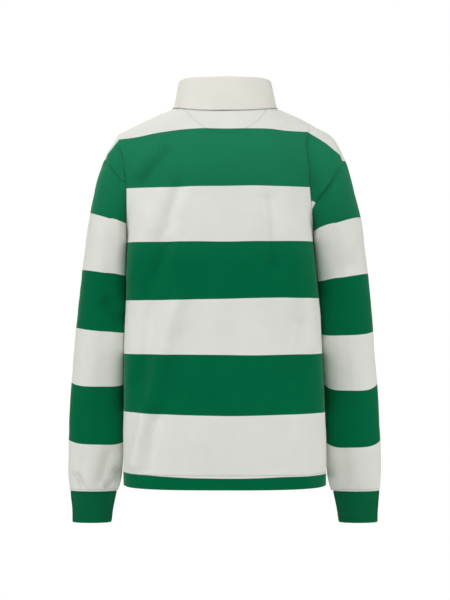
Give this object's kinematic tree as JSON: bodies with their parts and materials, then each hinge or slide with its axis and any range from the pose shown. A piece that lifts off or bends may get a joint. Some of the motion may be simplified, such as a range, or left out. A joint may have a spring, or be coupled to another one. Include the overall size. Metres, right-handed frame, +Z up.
{
  "type": "long-sleeved polo shirt",
  "caption": "Long-sleeved rugby polo shirt in wide hoops with a fold-over collar, buttoned placket and rib cuffs, filled out as if worn.",
  "frame": {"origin": "middle of the neck, level with the tops of the shoulders, where the wearer's shoulders carry the shirt", "axes": "+Z up along the wearer's spine, -Y the way the front faces, +X to the wearer's left"},
  "size_m": [0.5535, 0.2508, 0.7802],
  "materials": {
    "striped_jersey": "heavy cotton jersey, matte, hooped in green and off-white",
    "green_rib": "fine green cotton rib, matte",
    "ecru_twill": "off-white cotton twill, matte",
    "button_rubber": "off-white rubber, satin"
  },
  "bodies": {
    "root": {"back_panel": "striped_jersey", "front_panel": "striped_jersey", "sleeve_left": "striped_jersey", "sleeve_right": "striped_jersey", "cuff_left": "green_rib", "cuff_right": "green_rib", "collar": "ecru_twill", "placket_upper": "ecru_twill", "placket_under": "ecru_twill", "neck_facing": "ecru_twill", "button_1": "button_rubber", "button_2": "button_rubber", "button_3": "button_rubber"}
  },
  "joints": []
}
